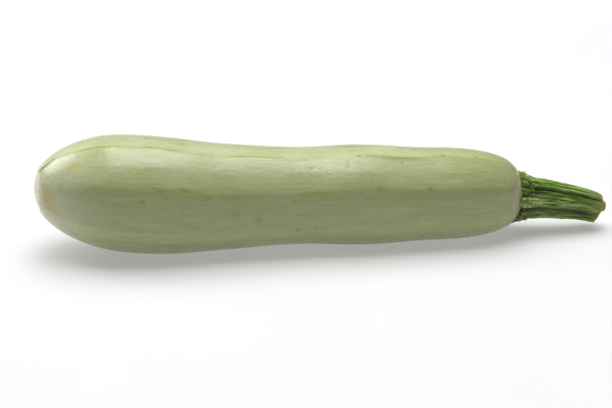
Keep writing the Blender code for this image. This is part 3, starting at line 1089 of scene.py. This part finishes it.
    def cut_face(self, tree: Tree, size: bpy.types.bpy_prop_collection, closing: Node, side: Node,
            rise: Node) -> tuple[Node, Node]:
        """Give the cut face's relief: a low dome, with the dried pith standing proud above its middle.

        Args:
            tree: the growth tree.
            size: the tree's named inputs.
            closing: 1 at the rim down to 0 at the middle of the face.
            side: the distance sideways from the stalk's line.
            rise: the distance up from it.

        Returns:
            The nodes that hold how far the face stands forward, and how much of a point is pith.
        """
        curve = add(tree, MATH, {0: closing, 1: 2.2}, operation="POWER")
        dome = add(tree, MATH, {0: 1.0, 1: curve}, operation="SUBTRACT", use_clamp=True)
        off = add(tree, MATH, {0: rise, 1: size["Pith Place"]}, operation="SUBTRACT")
        apart = add(tree, COMBINE, {0: side, 1: off})
        distance = add(tree, VECTORS, {0: apart}, operation="LENGTH").outputs["Value"]
        near = add(tree, MATH, {0: distance, 1: size["Pith Radius"]}, operation="DIVIDE")
        pith = add(tree, SPAN, {"Value": near, "From Min": 1.15, "From Max": 0.7},
            interpolation_type="SMOOTHSTEP")
        inside = add(tree, MATH, {0: closing, 1: 0.97}, operation="LESS_THAN")
        pith = add(tree, MATH, {0: pith, 1: inside}, operation="MULTIPLY")
        raised = add(tree, MATH, {0: pith, 1: size["Pith Rise"]}, operation="MULTIPLY")
        face = add(tree, MATH, {0: dome, 1: size["Dome Rise"], 2: raised}, operation="MULTIPLY_ADD")
        return face, pith

    def wart_tree(self, sizes: Sizes) -> Tree:
        """Build the tree that scatters warts on the rind, thickest at the foot of the ribs.

        Args:
            sizes: the tree's named inputs.

        Returns:
            The geometry tree.
        """
        tree = bpy.data.node_groups.new("grow_warts", "GeometryNodeTree")
        declare(tree, sizes)
        size = add(tree, "NodeGroupInput").outputs
        share, cut = (add(tree, "GeometryNodeInputNamedAttribute", {"Name": name},
            data_type="FLOAT") for name in ("share", "cut"))
        thick = add(tree, SPAN, {"Value": share, "From Min": 0.2, "From Max": 0.42, "To Min": 1.0,
            "To Max": 0.0}, interpolation_type="SMOOTHSTEP")
        rind = add(tree, MATH, {0: cut, 1: 0.01}, operation="LESS_THAN")
        density = add(tree, MATH, {0: thick, 1: rind}, operation="MULTIPLY")
        density = add(tree, MATH, {0: density, 1: size["Density"]}, operation="MULTIPLY")
        scattered = add(tree, "GeometryNodeDistributePointsOnFaces", {"Mesh": size["Geometry"],
            "Density": density, "Seed": size["Seed"]})
        dome = add(tree, "GeometryNodeMeshUVSphere", {"Segments": 8, "Rings": 5, "Radius": 1.0})
        wide = add(tree, "FunctionNodeRandomValue", {2: 0.5, 3: 1.0, "Seed": 3}, data_type="FLOAT")
        tall = add(tree, "FunctionNodeRandomValue", {2: 0.45, 3: 0.9, "Seed": 5}, data_type="FLOAT")
        width = add(tree, MATH, {0: wide.outputs[1], 1: size["Wart Radius"]}, operation="MULTIPLY")
        height = add(tree, MATH, {0: tall.outputs[1], 1: width}, operation="MULTIPLY")
        length = add(tree, MATH, {0: width, 1: 1.35}, operation="MULTIPLY")
        scale = add(tree, COMBINE, {0: width, 1: length, 2: height})
        placed = add(tree, "GeometryNodeInstanceOnPoints", {"Points": scattered.outputs["Points"],
            "Instance": dome.outputs["Mesh"], "Rotation": scattered.outputs["Rotation"], "Scale": scale})
        real = add(tree, "GeometryNodeRealizeInstances", {"Geometry": placed})
        smooth = add(tree, "GeometryNodeSetShadeSmooth", {"Geometry": real})
        dressed = add(tree, "GeometryNodeSetMaterial", {"Geometry": smooth, "Material": size["Wart"]})
        add(tree, "NodeGroupOutput", {0: dressed})
        return tree

    def build(self) -> tuple[bpy.types.Object, bpy.types.Object]:
        """Grow the stalk and the warts on it.

        Returns:
            The stalk and its warts.
        """
        sizes = self.sizes(self.rind.material())
        stalk = grow("stalk_rind", self.growth_tree(sizes), sizes)
        wart_sizes = {"Density": self.warts_per_square_metre, "Wart Radius": self.wart_radius, "Seed": 11,
            "Wart": self.wart.material()}
        warts = grow("stalk_warts", self.wart_tree(wart_sizes), wart_sizes, stalk.data)
        return stalk, warts


@dataclass
class Studio:
    """The floor, lights and camera round the courgette. Lengths are in metres, angles in degrees."""

    centre: Vector
    azimuth: float = -7.0
    elevation: float = 22.0
    roll: float = 0.28
    distance: float = 0.7545
    lens: float = 100.0
    floor_radius: float = 6.0

    def floor(self) -> bpy.types.Object:
        """Lay the paper floor at the height that the fruit rests on.

        Returns:
            The floor.
        """
        turns = [2 * math.pi * i / 96 for i in range(96)]
        rim = [(self.floor_radius * math.cos(t), self.floor_radius * math.sin(t), 0.0) for t in turns]
        mesh = bpy.data.meshes.new("paper_floor")
        mesh.from_pydata(rim, [], [list(range(96))])
        mesh.materials.append(PaperSweep().material())
        floor = bpy.data.objects.new("paper_floor", mesh)
        bpy.context.scene.collection.objects.link(floor)
        return floor

    def light(self, name: str, place: Vector, aim: Vector, size: tuple[float, float], watts: float) -> None:
        """Hang a rectangular softbox.

        Args:
            name: the light's name.
            place: its middle.
            aim: the point that it faces.
            size: its width and depth.
            watts: its power.
        """
        lamp = bpy.data.lights.new(name, "AREA")
        lamp.shape = "RECTANGLE"
        lamp.size, lamp.size_y = size
        lamp.energy = watts
        softbox = bpy.data.objects.new(name, lamp)
        softbox.location = place
        softbox.rotation_euler = (aim - place).to_track_quat("-Z", "Y").to_euler()
        bpy.context.scene.collection.objects.link(softbox)

    def sun(self, name: str, heading: Vector, width: float, strength: float) -> None:
        """Add the even light of a wide white ceiling, which fills the shade and makes no highlight.

        Args:
            name: the light's name.
            heading: the way that its middle shines.
            width: how wide it looks, in degrees.
            strength: its light on a surface that faces it, in watts per square metre.
        """
        lamp = bpy.data.lights.new(name, "SUN")
        lamp.energy = strength
        lamp.angle = math.radians(width)
        ceiling = bpy.data.objects.new(name, lamp)
        ceiling.rotation_euler = heading.to_track_quat("-Z", "Y").to_euler()
        ceiling.visible_glossy = False
        bpy.context.scene.collection.objects.link(ceiling)

    def surroundings(self) -> None:
        """Fill the room with a dim even light that looks white where the floor ends."""
        world = bpy.data.worlds.new("studio_room")
        world.use_nodes = True
        tree = world.node_tree
        tree.nodes.clear()
        seen = add(tree, "ShaderNodeLightPath").outputs["Is Camera Ray"]
        strength = add(tree, SPAN, {"Value": seen, "To Min": 0.06, "To Max": 0.93})
        backdrop = add(tree, "ShaderNodeBackground", {"Color": (1.0, 1.0, 1.0, 1.0), "Strength": strength})
        add(tree, "ShaderNodeOutputWorld", {"Surface": backdrop})
        bpy.context.scene.world = world

    def camera(self) -> None:
        """Stand the camera above and slightly to the blossom side of the fruit."""
        data = bpy.data.cameras.new("camera")
        data.lens = self.lens
        data.sensor_width = 36.0
        data.clip_start = 0.01
        data.clip_end = 50.0
        azimuth, elevation = math.radians(self.azimuth), math.radians(self.elevation)
        back = Vector((math.sin(azimuth) * math.cos(elevation), -math.cos(azimuth) * math.cos(elevation),
            math.sin(elevation)))
        camera = bpy.data.objects.new("camera", data)
        camera.location = self.centre + back * self.distance
        level = (-back).to_track_quat("-Z", "Y")
        camera.rotation_euler = (level @ Quaternion((0.0, 0.0, 1.0), math.radians(self.roll))).to_euler()
        bpy.context.scene.collection.objects.link(camera)
        bpy.context.scene.camera = camera

    def build(self) -> bpy.types.Object:
        """Set up the floor, the lights and the camera.

        Returns:
            The floor.
        """
        floor = self.floor()
        self.light("overhead_softbox", Vector((0.0, 0.26, 1.25)), Vector((0.0, 0.26, 0.0)), (0.62, 1.02), 8.8)
        self.light("side_softbox", Vector((-1.35, 0.85, 1.20)), Vector((-0.1, 0.0, 0.0)), (0.9, 1.1), 14.0)
        self.sun("ceiling_glow", Vector((0.0, -0.25, -1.0)), 65.0, 2.8)
        self.surroundings()
        self.camera()
        bpy.context.scene.view_settings.view_transform = "Standard"
        return floor


def main() -> None:
    """Build each piece, tie it to the frame and report it."""
    logging.basicConfig(level=logging.INFO, format="%(name)s: %(message)s")
    fruit = Fruit(*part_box("fruit")).build()
    stalk, warts = Stalk(*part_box("stalk")).build()
    for piece, node, slot in ((fruit, "fruit", "skin"), (stalk, "stalk", "rind"), (warts, "stalk", "rind")):
        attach(piece, "root")
        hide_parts(node)
        log.info("%s: %d faces", piece.name, len(piece.data.polygons))
    middle = (cad_box[0] + cad_box[1]) / 2
    studio = Studio(centre=Vector((middle.x - 0.0087, 0.0, 0.0177)))
    studio.build()
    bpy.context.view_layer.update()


if __name__ == "__main__":
    main()
